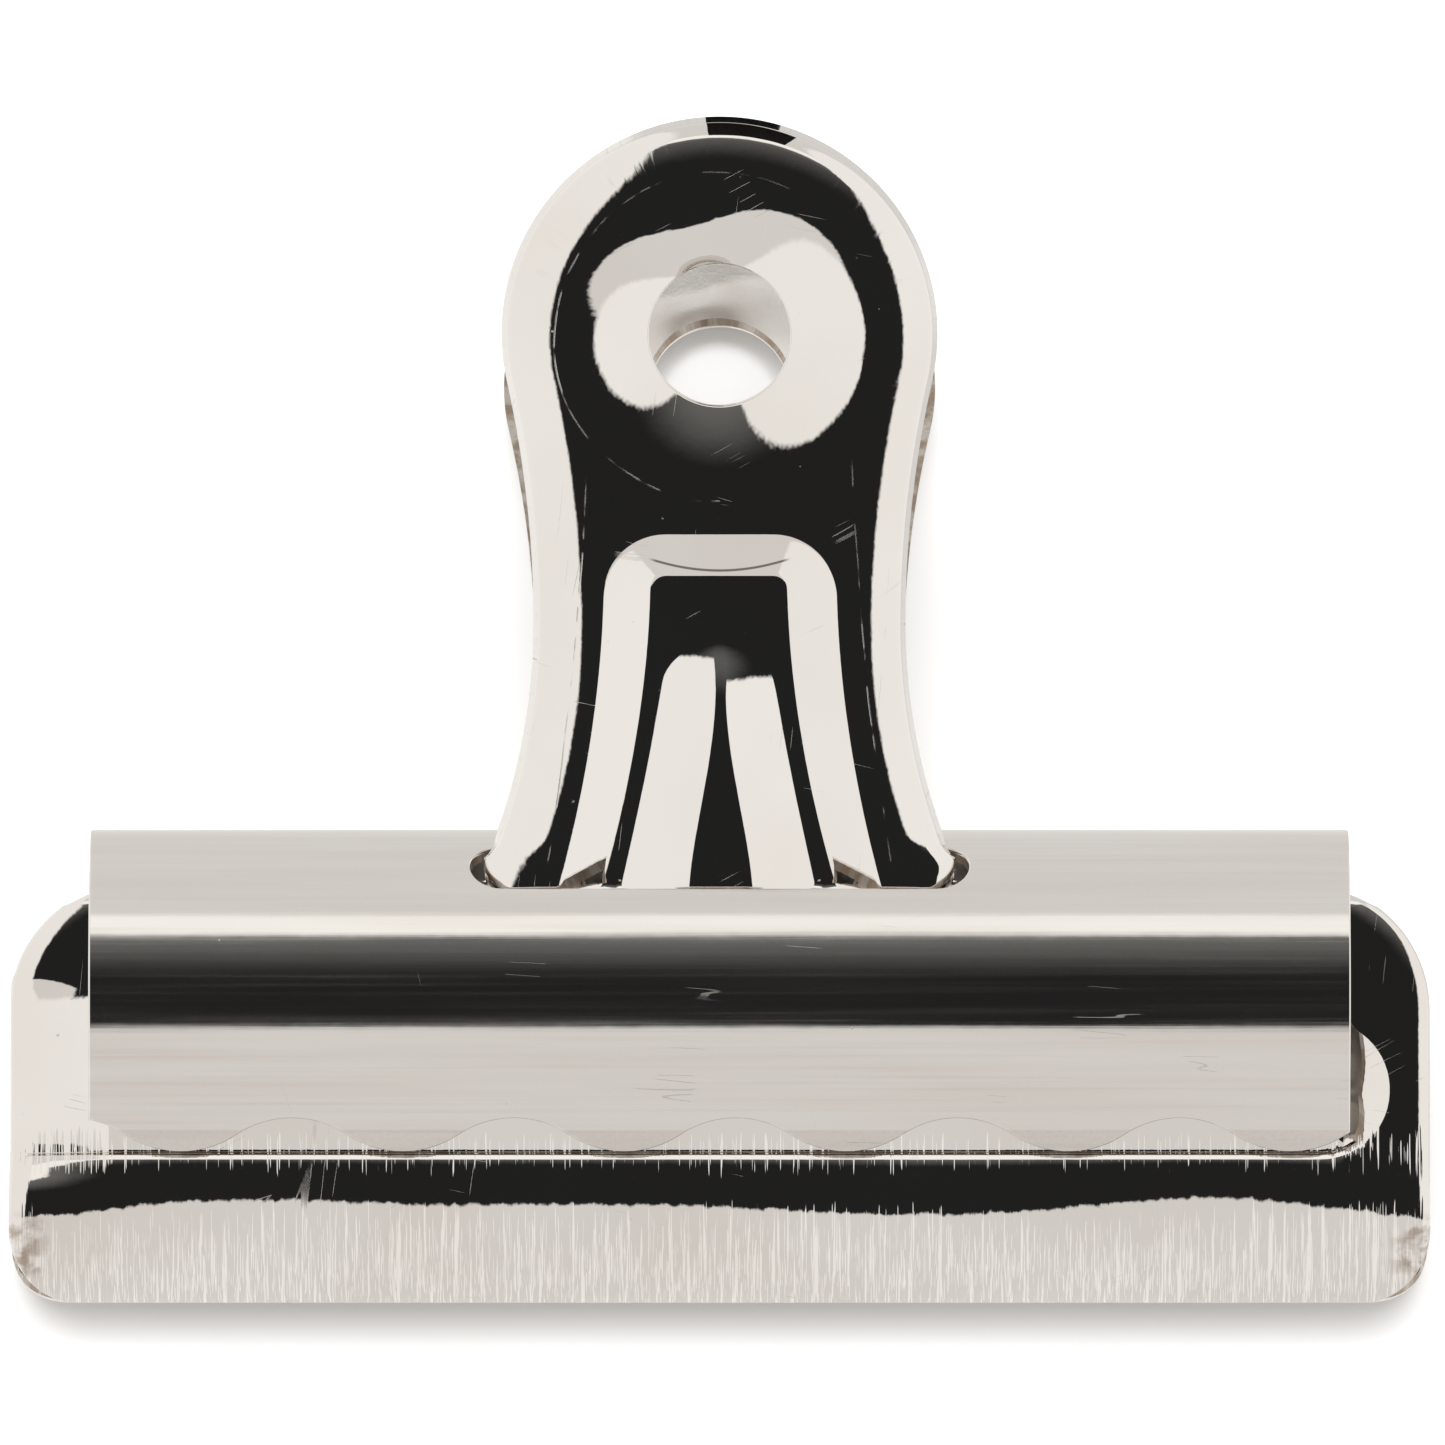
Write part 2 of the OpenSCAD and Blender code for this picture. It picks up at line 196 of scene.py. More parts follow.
def jaw_relief(x, h):
    """How far the jaw plate's face is pressed in."""
    half, mid = (CHANNEL_HIGH - CHANNEL_LOW) / 2, (CHANNEL_HIGH + CHANNEL_LOW) / 2
    px, py = np.maximum(x - CHANNEL_HALF + half, 0), h - mid
    reach = np.hypot(px, py)
    # The spring's edge lies in a groove with a steep lower wall and a floor that slopes as the spring's leg does.
    over = np.where(py < 0, half - reach, half + py)
    lower_wall = GROOVE_WALL * (over - GROOVE_EDGE) + GROOVE_BEVEL * GROOVE_EDGE
    side = -soft_least(-GROOVE_BEVEL * over, -lower_wall)
    groove = soft_least(side, GROOVE_DEPTH - GROOVE_SLOPE * (over - GROOVE_FOOT))
    groove = np.maximum(groove, 0) * (1 - ramp(px, 0.8, 1.9))
    # The groove ends at the right in a shallow round hollow, whose lower side is the steepest.
    steep = np.where(py < 0, HOLLOW_LOW, HOLLOW_HIGH) * (py / np.maximum(reach, 1e-6)) ** 2
    hollow = np.clip((HOLLOW_SLOPE + steep) * (half - reach), 0, HOLLOW_DEPTH)
    z = np.maximum(groove, hollow * ramp(x, 24.2, 25.3))
    # The channel runs out at the left end of the plate, which the press pulls in beside it.
    pull = PULL_SLOPE * np.maximum(-x - PULL_FROM, 0) * ramp(h, 3.9, 6.2) * (1 - ramp(h, 11.4, 12.8))
    # The start of the lip is a little uneven: two slow waves along it, and a drop at each end.
    wave = 0.55 * np.cos((x - 5) * 2 * math.pi / 36) - 0.35 * np.cos((x + 21) * 2 * math.pi / 20.5)
    wave = wave + 1.1 * ramp(x, 18, 29) + 0.5 * ramp(-x, 22, 29)
    fade = ramp(h, 0, 1.2) * (1 + np.cos(math.pi * np.clip((h - 1.1) / 5.0, 0, 1)))
    uneven = -UNEVEN * wave * fade
    edge = JAW_SHOULDER * np.clip(1 - plate_distance(x, h) / JAW_SHOULDER_W, 0, 1) ** 2 * ramp(h, 0.3, 2.0)
    return z + pull + uneven + edge


def jaw_face(x, y):
    """The jaw plate's face, with y up along its profile from the gripping edge."""
    a = np.clip(y, -1, LIP_LEN) / LIP_R - LIP_A
    b = np.clip(y - LIP_LEN - RUN_LEN, 0, 2) / TOP_R
    run = np.clip(y - LIP_LEN, 0, RUN_LEN)
    h = jaw_h(y)
    z = jaw_relief(x, h)
    d = LIP_C[0] + LIP_R * np.cos(a) + RUN_DIR[0] * run - TOP_R * (1 - np.cos(b)) - z
    return np.stack([x, d, h], -1)


def arch_half(down, w0, w1):
    """Half width of the pressed arch, which widens downward."""
    return w0 + (w1 - w0) * np.clip((down - 9.5) / 12.5, 0, 1.4) ** 1.9


def arch_inside(x, down, top, w0, w1, corner):
    """Distance in from one outline of the pressed arch, which has round upper corners."""
    half = arch_half(down, w0, w1)
    px, py = np.abs(x) - half + corner, top - down + corner
    return corner - np.hypot(np.maximum(px, 0), np.maximum(py, 0)) - np.minimum(np.maximum(px, py), 0)


def edge_distance(x, s):
    """Distance in from the handle's outline."""
    ax = np.abs(x)
    head = HEAD_R - np.hypot(x, s)
    waist = np.hypot(ax - WAIST - WAIST_R, s + WAIST_S) - WAIST_R
    flare = np.hypot(ax - WAIST - FLARE_R, s + WAIST_S) - FLARE_R
    return np.where(s < -WAIST_S, flare, np.where(np.arctan2(s, ax) >= TOUCH, head, waist))


def rib_width(down):
    """Half width of the rib's foot, which is round at the top."""
    full = 2.2 + 1.75 * np.clip((down - RIB_TOP) / 9.6, 0, 1.2) ** 1.3
    return full * np.sqrt(1 - (1 - np.clip((down - RIB_TOP) / 1.7, 0.02, 1)) ** 2)


def rib_flat(down):
    """How much of the rib's half width its flat crest takes."""
    return 0.02 + 0.26 * ramp(down, 13.5, 22)


def handle_relief(x, s):
    """How far the handle's face is pressed in at (x, s), s measured up from the hole."""
    # The dish is a little smaller at the top left.
    lag = DISH_LAG * np.exp(-((np.arctan2(x, s) + LAG_AT) / LAG_WIDTH) ** 2)
    t = (DISH_R - lag - np.hypot(x, s)) / (DISH_R - lag - HOLE_R)
    dish = DISH_DEPTH * np.maximum(t, 0) ** (1.6 + 0.5 * lag)
    down = -s
    outer, inner = arch_inside(x, down, *ARCH_OUTER), arch_inside(x, down, *ARCH_INNER)
    t = np.clip(outer / np.maximum(outer - inner, 1e-6), 0, 1)
    sunk = PANEL_DEPTH * wall(t, 0.12)
    rise = RIB_RISE * (1 - np.exp(-np.maximum(down - RIB_TOP, 0) ** 1.5 / 2.4))
    flat = rib_flat(down)
    rib = rise * (1 - wall((np.abs(x) / rib_width(down) - flat) / (1 - flat), 0.1))
    deep = SHOULDER - LOW_SHOULDER * ramp(down, 20.0, 21.1)
    edge = deep * np.clip(1 - edge_distance(x, s) / SHOULDER_W, 0, 1) ** 2
    # All of it fades out before the bend.
    return (dish + np.maximum(sunk - rib, 0.0) + edge) * ramp(s, BEND_S + 0.1, BEND_S + 1.3)


def handle_face(x, s):
    """The handle's face, with s up from the hole."""
    p = HOLE_C + s[..., None] * HANDLE_DIR - handle_relief(x, s)[..., None] * HANDLE_OUT
    return np.stack([x, p[..., 0], p[..., 1]], -1)


def spring_face(x, y):
    """The spring's face, with y down along it from the top of the barrel."""
    a = np.clip(y / BARREL_R, -1, LEG_A)
    run = np.maximum(y - BARREL_R * LEG_A, 0)
    d = BARREL_R * np.sin(a) + run * math.cos(LEG_A)
    h = BARREL_H + BARREL_R * np.cos(a) - run * math.sin(LEG_A)
    return np.stack([x, d, h], -1)


def spring_y(h):
    """Distance along the spring's outer face to a height on its straight leg."""
    return BARREL_R * LEG_A + (BARREL_H + BARREL_R * math.cos(LEG_A) - h) / math.sin(LEG_A)


SEAM_NORMAL = {jaw_face: (BEND_Y, BEND_OUT), handle_face: (BEND_S, BEND_OUT)}


def face_frame(face, xy):
    """Points, outward normals and the two unit tangents of a face at sheet coordinates."""
    e = 0.01
    x, y = xy[:, 0], xy[:, 1]
    tx = face(x + e, y) - face(x - e, y)
    ty = face(x, y + e) - face(x, y - e)
    tx /= np.linalg.norm(tx, axis=1, keepdims=True)
    ty /= np.linalg.norm(ty, axis=1, keepdims=True)
    n = np.cross(ty, tx)
    if face is spring_face:                            # y runs down here, and up in the other two
        n = -n
    n /= np.linalg.norm(n, axis=1, keepdims=True)
    if face in SEAM_NORMAL:
        at, out = SEAM_NORMAL[face]
        n[np.abs(y - at) < 1e-6] = [0, *out]
    return face(x, y), n, tx, ty


# ---- Outlines ----

def arc(cx, cy, r, a0, a1, n):
    """Points round a circle, n of them."""
    a = np.linspace(a0, a1, n)
    return np.stack([cx + r * np.cos(a), cy + r * np.sin(a)], -1)


def even(points, step, closed=False):
    """The polyline with its corners kept and points about step apart."""
    pts = np.vstack([points, points[:1]]) if closed else points
    out = []
    for a, b in zip(pts[:-1], pts[1:]):
        n = max(1, int(round(np.linalg.norm(b - a) / step)))
        out.append(a + (b - a) * (np.arange(n) / n)[:, None])
    return np.vstack(out if closed else out + [pts[-1:]])


def both_sides(right):
    """The right half of an outline, whose last point is on the middle line, and then its mirror image."""
    return np.vstack([right, (right[::-1] * [-1, 1])[1:]])


def handle_outline():
    """From the right end of the bend up round the head to its left end."""
    fx = WAIST + FLARE_R
    cx = fx - (FLARE_R + CORNER_R) * math.cos(FLARE_A)
    cy = -WAIST_S - (FLARE_R + CORNER_R) * math.sin(FLARE_A)
    neck = math.acos((NECK_HALF - cx) / CORNER_R)
    wx = WAIST + WAIST_R
    half = math.pi / 2
    right = np.vstack([
        [[NECK_HALF, BEND_S]],
        arc(cx, cy, CORNER_R, -neck, FLARE_A, 10)[:-1],
        arc(fx, -WAIST_S, FLARE_R, 2 * half + FLARE_A, 2 * half, 28)[:-1],
        arc(wx, -WAIST_S, WAIST_R, 2 * half, 2 * half + TOUCH, 28)[:-1],
        arc(0, 0, HEAD_R, TOUCH, half, 56),
    ])
    return even(both_sides(right), 0.35)


def jaw_outline():
    """From the right end of the bend out round the plate to the bend's left end."""
    half = math.pi / 2
    up = arc(JAW_HALF - JAW_UP_R, JAW_TOP - JAW_UP_R, JAW_UP_R, half, 0, 28)
    low = arc(JAW_HALF - JAW_LOW_R, JAW_LOW_R, JAW_LOW_R, 0, -half, 20)
    up[:, 1], low[:, 1] = jaw_y(up[:, 1]), jaw_y(low[:, 1])
    right = np.vstack([[[NECK_HALF, BEND_Y], [NECK_HALF, JAW_LEN]], up, low, [[0, low[-1, 1]]]])
    return even(both_sides(right), 0.4)


def scallop_line(x):
    """Height of the spring's lower edge: round lobes and round dips in turn."""
    first = SCALLOP_SHIFT - SCALLOP_PITCH * (LOBES - 1) / 2
    u = (x - first) / (SCALLOP_PITCH / 2)
    k = np.round(u)
    r = ((SCALLOP_PITCH / 4) ** 2 + SCALLOP_RISE ** 2) / (2 * SCALLOP_RISE)
    near = (u - k) * SCALLOP_PITCH / 2
    bulge = np.sqrt(r * r - near ** 2) - r + SCALLOP_RISE
    lobe = (np.abs(k) % 2 < 0.5) & (k > -1.5) & (k < 2 * LOBES - 0.5)
    dip = np.abs(k) % 2 > 0.5
    return SCALLOP_H - np.where(lobe, bulge, np.where(dip, -bulge, 0.0))


def spring_outline():
    """From the right end of the seam down round the scalloped edge to the seam's left end."""
    x = np.linspace(SPRING_HALF, -SPRING_HALF, 240)
    edge = np.stack([x, spring_y(scallop_line(x))], -1)
    return even(np.vstack([[[SPRING_HALF, 0]], edge, [[-SPRING_HALF, 0]]]), 0.5)


def slot_outline():
    """Round one slot of the spring, which has round ends."""
    y0, y1 = BARREL_R * SLOT_NEAR, BARREL_R * SLOT_FAR
    r, mid, half = (y1 - y0) / 2, (y0 + y1) / 2, math.pi / 2
    ends = [arc(SLOT_HALF - r, mid, r, -half, half, 20), arc(r - SLOT_HALF, mid, r, half, 3 * half, 20)]
    return even(np.vstack(ends), 0.4, closed=True)


# ---- Building a sheet ----

def outward(chain, closed, face_centre):
    """Unit directions in the sheet that point out of the metal at each point of a chain."""
    after = np.roll(chain, -1, 0) - chain
    before = chain - np.roll(chain, 1, 0)
    if not closed:
        after[-1], before[0] = before[-1], after[0]
    t = after / np.linalg.norm(after, axis=1, keepdims=True) + before / np.linalg.norm(before, axis=1, keepdims=True)
    t /= np.linalg.norm(t, axis=1, keepdims=True)
    area = (chain[:, 0] * np.roll(chain[:, 1], -1) - np.roll(chain[:, 0], -1) * chain[:, 1]).sum()
    return math.copysign(1, area) * face_centre * np.stack([t[:, 1], -t[:, 0]], -1)


def inside_of(loops, p):
    """Which points lie inside an odd number of the loops."""
    odd = np.zeros(len(p), bool)
    for loop in loops:
        for (ax, ay), (bx, by) in zip(loop, np.roll(loop, -1, 0)):
            if ay != by:
                crosses = (ay > p[:, 1]) != (by > p[:, 1])
                odd ^= crosses & (p[:, 0] < (bx - ax) * (p[:, 1] - ay) / (by - ay) + ax)
    return odd


def lattice(loops, lines, xs, ys):
    """Points of a grid inside the loops and clear of them and of the lines."""
    gx, gy = np.meshgrid(xs, ys)
    p = np.stack([gx.ravel(), gy.ravel()], -1)
    p = p[inside_of(loops, p)]
    clear = 0.5 * min(np.diff(xs).min(), np.diff(ys).min())
    near = np.vstack([*loops, *lines])
    gap = np.concatenate([((q[:, None] - near[None]) ** 2).sum(-1).min(1) for q in np.array_split(p, 30)])
    return p[gap > clear ** 2]


OUTSIDE, CUT, INSIDE = 0, 1, 2                    # material slots


class Piece:
    """The vertices and faces of one piece while it is made, with the normal that shows at each corner."""

    def __init__(self):
        self.p, self.uv, self.faces, self.count = [], [], [], 0
        self.shift = 0.0                               # of the pattern coordinates along the sheet

    def add(self, p, uv):
        """Adds vertices and gives their numbers."""
        self.p.append(p)
        self.uv.append(uv + [0, self.shift])
        self.count += len(p)
        return np.arange(self.count - len(p), self.count)

    def strip(self, a, b, na, nb, closed, finish=OUTSIDE):
        """Quads between two rows of vertices."""
        i = np.arange(len(a) if closed else len(a) - 1)
        j = (i + 1) % len(a)
        quads = np.stack([a[i], a[j], b[j], b[i]], -1)
        self.faces.append((quads, np.stack([na[i], na[j], nb[j], nb[i]], 1), finish))

    def fill(self, loops, lines, xs, ys, face, inward):
        """Triangles inside the loops, each of which is (vertex numbers, sheet coordinates, normals). Their edges
        follow the lines, where the sheet is pressed."""
        outlines = [xy for _, xy, _ in loops]
        # The points are those of the outlines, then those of the lines, then the grid. "at" counts them.
        edges, at = [], 0
        for xy in outlines:
            edges += [(at + i, at + (i + 1) % len(xy)) for i in range(len(xy))]
            at += len(xy)
        fixed = at
        for xy in lines:
            edges += [(at + i, at + i + 1) for i in range(len(xy) - 1)]
            at += len(xy)
        coords = np.vstack([*outlines, *lines, lattice(outlines, lines, xs, ys)])
        out = delaunay_2d_cdt([Vector(c) for c in coords], edges, [], 0, 1e-7, True)
        xy = np.array(out[0])
        source = np.array([min(o) if o else at for o in out[3]])
        own = source >= fixed                          # the outlines' vertices are there already
        p, n, _, _ = face_frame(face, xy[own])
        numbers, shown = np.zeros(len(xy), int), np.zeros((len(xy), 3))
        numbers[own], shown[own] = self.add(p - inward * SHEET * n, xy[own]), n * (1 - 2 * inward)
        numbers[~own] = np.concatenate([v for v, _, _ in loops])[source[~own]]
        shown[~own] = np.vstack([m for _, _, m in loops])[source[~own]]
        tri = np.array(out[2])
        tri = tri[inside_of(outlines, xy[tri].mean(1))]
        self.faces.append((numbers[tri], shown[tri], INSIDE if inward else OUTSIDE))

    def make(self, name, side, slots):
        """The Blender object, with faces that share every corner they meet at."""
        p = to_row(np.vstack(self.p), side)
        uv = np.vstack(self.uv)
        _, first, same = np.unique(np.round(p * 1e7).astype(np.int64), axis=0, return_index=True, return_inverse=True)
        same = same.ravel()
        polygons, normals, coords, finishes = [], [], [], []
        for faces, shown, finish in self.faces:
            shown = turn(shown.reshape(-1, 3), side).reshape(shown.shape)
            k = faces.shape[1]
            c = p[faces]
            if k == 4:
                up = np.cross(c[:, 2] - c[:, 0], c[:, 3] - c[:, 1])
            else:
                up = np.cross(c[:, 1] - c[:, 0], c[:, 2] - c[:, 0])
            # Faces that would point away from their normals are turned over, and empty ones are left out.
            back = (up * shown.mean(1)).sum(1) < 0
            faces, shown = faces.copy(), shown.copy()
            faces[back], shown[back] = faces[back][:, ::-1], shown[back][:, ::-1]
            whole = np.array([len(set(f)) == k for f in same[faces].tolist()], bool)
            faces, shown = faces[whole], shown[whole]
            polygons += same[faces].tolist()
            normals.append(shown.reshape(-1, 3))
            coords.append(uv[faces].reshape(-1, 2))
            finishes += [finish] * len(faces)
        mesh = bpy.data.meshes.new(name)
        mesh.from_pydata(p[first].tolist(), [], polygons)
        mesh.polygons.foreach_set("use_smooth", [True] * len(polygons))
        mesh.polygons.foreach_set("material_index", finishes)
        layer = mesh.uv_layers.new(name="sheet_mm")
        layer.data.foreach_set("uv", (np.vstack(coords) / 100 + 0.5).ravel())
        mesh.normals_split_custom_set(np.vstack(normals).tolist())
        for m in slots:
            mesh.materials.append(m)
        obj = bpy.data.objects.new(name, mesh)
        bpy.context.scene.collection.objects.link(obj)
        return obj


TURNS = 7                                          # steps round a rounded edge


def add_sheet(piece, face, chains, seam, lines, xs, ys, cap=False):
    """Adds one sheet. Chains are (points, width and depth of the rounding, angle it turns through, closed,
    1 round the metal or -1 round an opening). The first is the outline; seam closes it where the metal goes on,
    and cap closes the sheet there. Gives the vertices round the metal at the two ends of the outline."""
    fronts, backs = [], []
    for chain, wide, deep, end_a, closed, sign in chains:
        out2 = outward(chain, closed, sign)
        wide, deep, end_a = (np.broadcast_to(v, len(chain)).astype(float) for v in (wide, deep, end_a))
        folded = ramp(deep, 0.2, 0.9)                  # 1 where the edge is turned back, not just rounded
        wide_in, deep_in = np.maximum(wide - SHEET, 0.02), np.maximum(deep - SHEET, 0.02)
        rows = {False: [], True: []}
        for inner in (False, True):
            w, b = (wide_in, deep_in) if inner else (wide, deep)
            for k in range(TURNS + 1):
                a = end_a * k / TURNS
                gap = w * (np.sin(end_a) - np.sin(a)) + inner * SHEET * folded
                z = b * (1 - np.cos(a)) + inner * SHEET
                xy = chain - gap[:, None] * out2
                p, n, tx, ty = face_frame(face, xy)
                out3 = out2[:, :1] * tx + out2[:, 1:] * ty
                out3 -= (out3 * n).sum(1, keepdims=True) * n
                out3 /= np.linalg.norm(out3, axis=1, keepdims=True)
                shown = (b * np.sin(a))[:, None] * out3 + (w * np.cos(a) + 1e-9)[:, None] * n
                shown /= np.linalg.norm(shown, axis=1, keepdims=True)
                p = p - z[:, None] * n
                rows[inner].append((piece.add(p, xy), xy, -shown if inner else shown, p, out3 - n))
            for r0, r1 in zip(rows[inner][:-1], rows[inner][1:]):
                piece.strip(r0[0], r1[0], r0[2], r1[2], closed, INSIDE if inner else OUTSIDE)
        o, i = rows[False][-1], rows[True][-1]
        along = np.roll(o[3], -1, 0) - np.roll(o[3], 1, 0)
        if not closed:
            along[0], along[-1] = o[3][1] - o[3][0], o[3][-1] - o[3][-2]
        cut = np.cross(along, i[3] - o[3])
        cut *= np.sign((cut * i[4]).sum(1, keepdims=True))
        cut /= np.linalg.norm(cut, axis=1, keepdims=True)
        piece.strip(o[0], i[0], cut, cut, closed, CUT)
        front, back = rows[False][0][:3], rows[True][0][:3]
        if not closed:
            p, n, _, _ = face_frame(face, seam)
            row_o, row_i = piece.add(p, seam), piece.add(p - SHEET * n, seam)
            if cap:
                left = [r[0][-1] for r in rows[False][::-1]], [r[0][-1] for r in rows[True][::-1]]
                right = [r[0][0] for r in rows[False]], [r[0][0] for r in rows[True]]
                top = np.array(left[0] + list(row_o) + right[0])
                low = np.array(left[1] + list(row_i) + right[1])
                flat = np.tile([0.0, -1.0, 0.0], (len(top), 1))
                piece.strip(top, low, flat, flat, False)
            front = np.append(front[0], row_o), np.vstack([front[1], seam]), np.vstack([front[2], n])
            back = np.append(back[0], row_i), np.vstack([back[1], seam]), np.vstack([back[2], -n])
        fronts.append(front)
        backs.append(back)
        if chain is chains[0][0]:
            ends = [[r[0][k] for r in rows[False]] + [r[0][k] for r in rows[True][::-1]] for k in (0, -1)]
    piece.fill(fronts, lines, xs, ys, face, 0)
    piece.fill(backs, lines, xs, ys, face, 1)
    return ends


def spaced(points, count):
    """The polyline as count points, evenly spaced."""
    far = np.concatenate([[0], np.cumsum(np.linalg.norm(np.diff(points, axis=0), axis=1))])
    at = np.linspace(0, far[-1], count)
    return np.stack([np.interp(at, far, points[:, 0]), np.interp(at, far, points[:, 1])], -1)


def arch_line(top, w0, w1, corner):
    """One outline of the arch, from the foot of its right side over the top to the foot of its left side."""
    side = np.arange(ARCH_FOOT, top + corner, -0.2)
    down = np.concatenate([side, top + corner * (1 - np.sin(np.linspace(0, math.pi / 2, 14)))])
    reach = np.sqrt(np.maximum(corner ** 2 - np.maximum(top + corner - down, 0) ** 2, 0))
    right = np.stack([arch_half(down, w0, w1) - corner + reach, -down], -1)
    return np.vstack([right, right[::-1] * [-1, 1]])


def handle_lines():
    """The lines on the handle that the arch, its rib and the dish follow."""
    # The walls' lines lie closest together where the walls bend.
    outer, inner = (spaced(arch_line(*edge), 260) for edge in (ARCH_OUTER, ARCH_INNER))
    lines = [outer + (inner - outer) * t for t in (0, 0.03, 0.07, 0.12, 0.3, 0.5, 0.7, 0.88, 0.94, 1)]
    down = np.arange(RIB_TOP + 0.1, ARCH_FOOT, 0.22)
    for q in (0, 0.04, 0.1, 0.3, 0.5, 0.7, 0.9, 0.96, 1):
        x = rib_width(down) * (rib_flat(down) + (1 - rib_flat(down)) * q)
        lines += [np.stack([side * x, -down], -1) for side in (-1, 1)]
    for r in np.linspace(HOLE_R + 0.45, DISH_R, 9):
        lines.append(arc(0, 0, r, 0, 2 * math.pi, int(r * 20)))
    return lines


def channel_lines():
    """The lines on the jaw plate that the channel's walls follow, from its open left end round and back."""
    half, mid = (CHANNEL_HIGH - CHANNEL_LOW) / 2, (CHANNEL_HIGH + CHANNEL_LOW) / 2
    left = -27.7
    lines = []
    for q in (1, 0.985, 0.96, 0.93, 0.912, 0.895, 0.874, 0.855, 0.82):
        end = arc(CHANNEL_HALF - half, mid, half * q, -math.pi / 2, math.pi / 2, 30)
        line = even(np.vstack([[[left, mid - half * q]], end, [[left, mid + half * q]]]), 0.4)
        line[:, 1] = jaw_y(line[:, 1])
        lines.append(line)
    return lines


def rounding(chain, bend_y):
    """How far the plain cut edges are rounded: hardly at the two ends of the bend, where the outlines meet."""
    return 0.02 + 0.1 * ramp(np.hypot(np.abs(chain[:, 0]) - NECK_HALF, chain[:, 1] - bend_y), 0, 0.3)


def lever_piece():
    """One lever: the handle and the jaw plate, which meet along the bend."""
    piece = Piece()
    # The handle's edge is turned back all round, less so at the neck and not at all at the bend.
    chain = handle_outline()
    least = rounding(chain, BEND_S)
    low = 1 - ramp(-chain[:, 1], 20.2, 21.1) * 0.5
    clear = ramp(chain[:, 1], BEND_S + 0.2, BEND_S + 1.2)
    wide, deep = least + 1.0 * clear * (0.6 + 0.4 * low), least + 1.18 * low * clear
    rim = chain, wide, deep, rad(90) - rad(22) * clear, False, 1
    hole_edge = arc(0, 0, HOLE_R, 0, 2 * math.pi, 73)[:-1]
    lip = np.full(len(hole_edge), 0.16)
    across = np.linspace(-NECK_HALF, NECK_HALF, 45)[2:-2]
    seam = np.stack([across, np.full(len(across), BEND_S)], -1)
    fine = 0.3
    neck = add_sheet(piece, handle_face, [rim, (hole_edge, lip, lip, rad(90), True, -1)], seam, handle_lines(),
                     np.arange(-9.6, 9.7, fine), np.arange(-24, 9.3, fine))
    piece.shift = BEND_S - BEND_Y
    # The plate's ends are turned back a little.
    chain = jaw_outline()
    least = rounding(chain, BEND_Y)
    ends = ramp(np.abs(chain[:, 0]), 20.0, 23.5) * ramp(jaw_h(chain[:, 1]), 0.4, 2.5)
    rim = chain, least + 0.25 * ends, least + 0.3 * ends, rad(90) - rad(15) * ends, False, 1
    corner = NECK_HALF - 0.02
    seam = np.vstack([[[-corner, 0]], seam, [[corner, 0]]]) * [1, 0] + [0, BEND_Y]
    columns = np.arange(-28.8, -22, fine), np.arange(-21.9, 22, 2 * fine), np.arange(22.2, 28.9, fine)
    plate = add_sheet(piece, jaw_face, [rim], seam, channel_lines(), np.concatenate(columns),
                      np.arange(0.2, JAW_LEN, 0.36))
    # Triangles close the cut edge at the bend's two corners.
    for a, b in zip(neck, plate):
        a, b = np.array(a), np.array(b)
        shown = np.tile([0.0, *HANDLE_DIR], (len(a) - 1, 3, 1))
        piece.faces.append((np.stack([a[:-1], a[1:], b[1:]], -1), shown, CUT))
        piece.faces.append((np.stack([a[:-1], b[1:], b[:-1]], -1), shown, CUT))
    return piece


def spring_piece():
    """One half of the spring, from the top of the barrel down to its scalloped edge."""
    piece = Piece()
    across = np.linspace(-SPRING_HALF, SPRING_HALF, 60)[1:-1]
    rims = [(spring_outline(), 0.08, 0.08, rad(90), False, 1), (slot_outline(), 0.1, 0.1, rad(90), True, -1)]
    add_sheet(piece, spring_face, rims, np.stack([across, np.zeros(len(across))], -1), [],
              np.arange(-25.2, 25.3, 0.7), np.arange(0.15, 18.5, 0.3), cap=True)
    return piece


# ---- Materials ----

